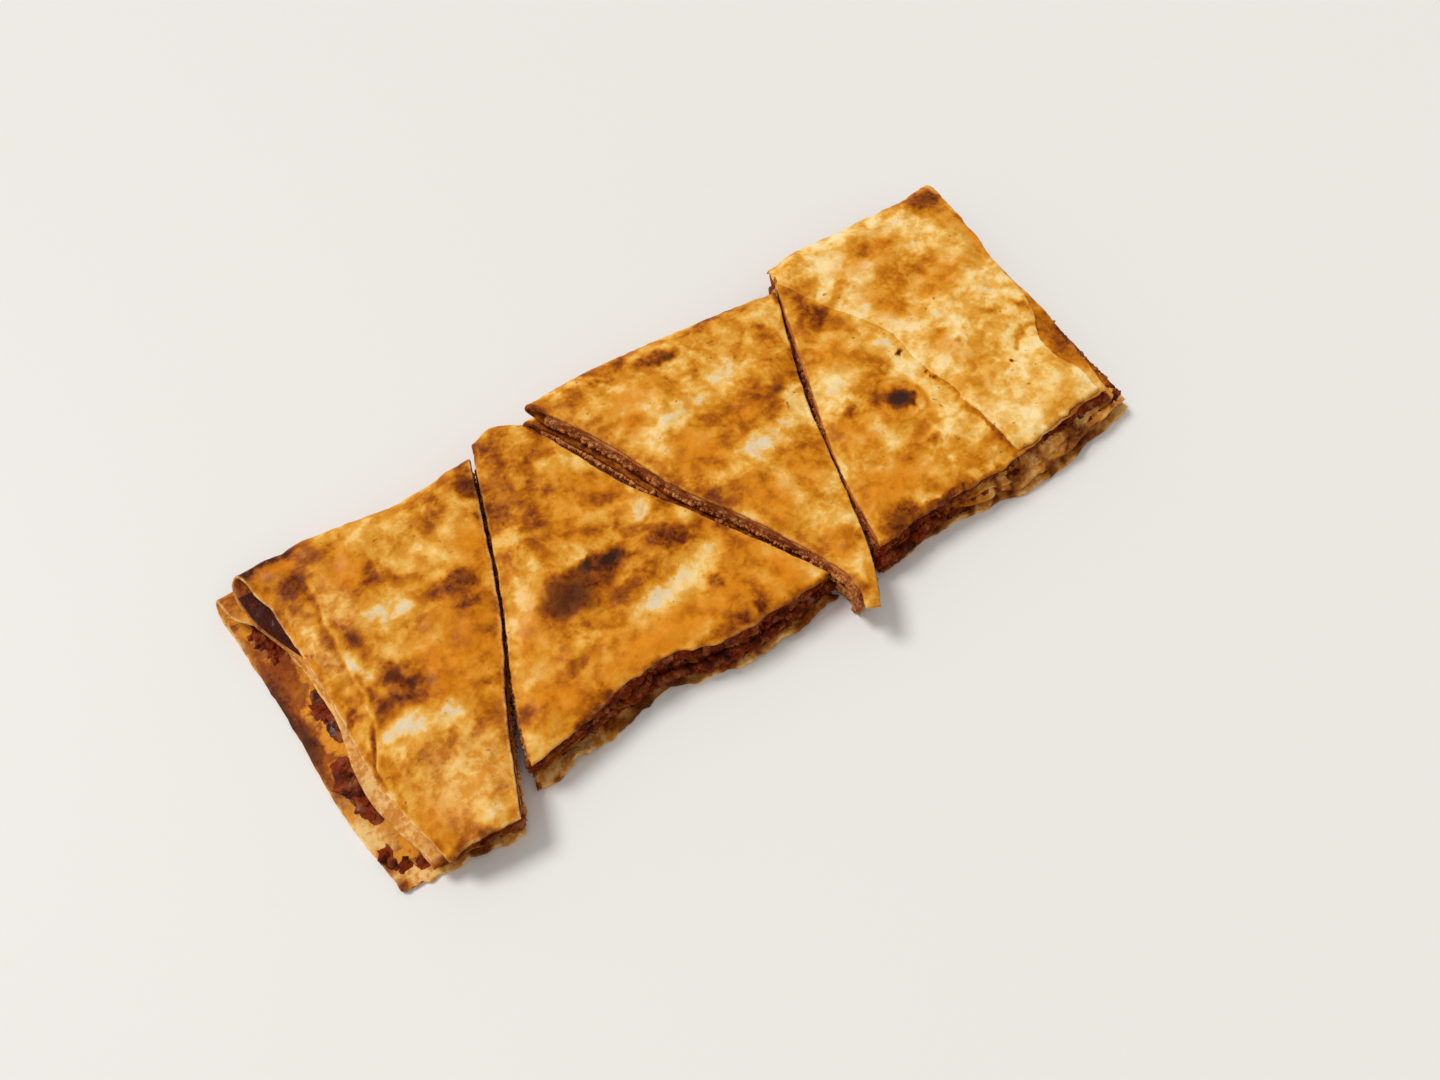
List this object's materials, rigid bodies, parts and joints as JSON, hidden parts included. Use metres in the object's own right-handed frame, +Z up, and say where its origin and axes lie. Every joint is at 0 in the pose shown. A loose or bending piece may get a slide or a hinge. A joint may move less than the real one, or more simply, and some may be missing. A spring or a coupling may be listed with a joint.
{
  "type": "arayes",
  "caption": "Grilled flatbread folded in two layers round spiced mince, cut in a zigzag into slices that keep the shape of the whole.",
  "frame": {"origin": "middle of the row of slices, on the surface that it rests on", "axes": "+X along the row, from the open end to the closed end; +Y towards the folded backs; +Z up"},
  "size_m": [0.2486, 0.1097, 0.0147],
  "materials": {
    "grilled_bread": "thin flatbread grilled golden to brown, oily in places, with pale floury patches and a few charred ones",
    "spiced_mince": "cooked spiced mince, dark red-brown, crumbly and glossy with fat"
  },
  "bodies": {
    "root": {"slice_1_lower_bread": "grilled_bread", "slice_1_lower_mince": "spiced_mince", "slice_1_upper_bread": "grilled_bread", "slice_1_upper_mince": "spiced_mince", "slice_2_lower_bread": "grilled_bread", "slice_2_lower_mince": "spiced_mince", "slice_2_upper_bread": "grilled_bread", "slice_2_upper_mince": "spiced_mince", "slice_3_lower_bread": "grilled_bread", "slice_3_lower_mince": "spiced_mince", "slice_3_upper_bread": "grilled_bread", "slice_3_upper_mince": "spiced_mince", "slice_4_lower_bread": "grilled_bread", "slice_4_lower_mince": "spiced_mince", "slice_4_upper_bread": "grilled_bread", "slice_4_upper_mince": "spiced_mince", "slice_4_flap": "grilled_bread"}
  },
  "joints": []
}
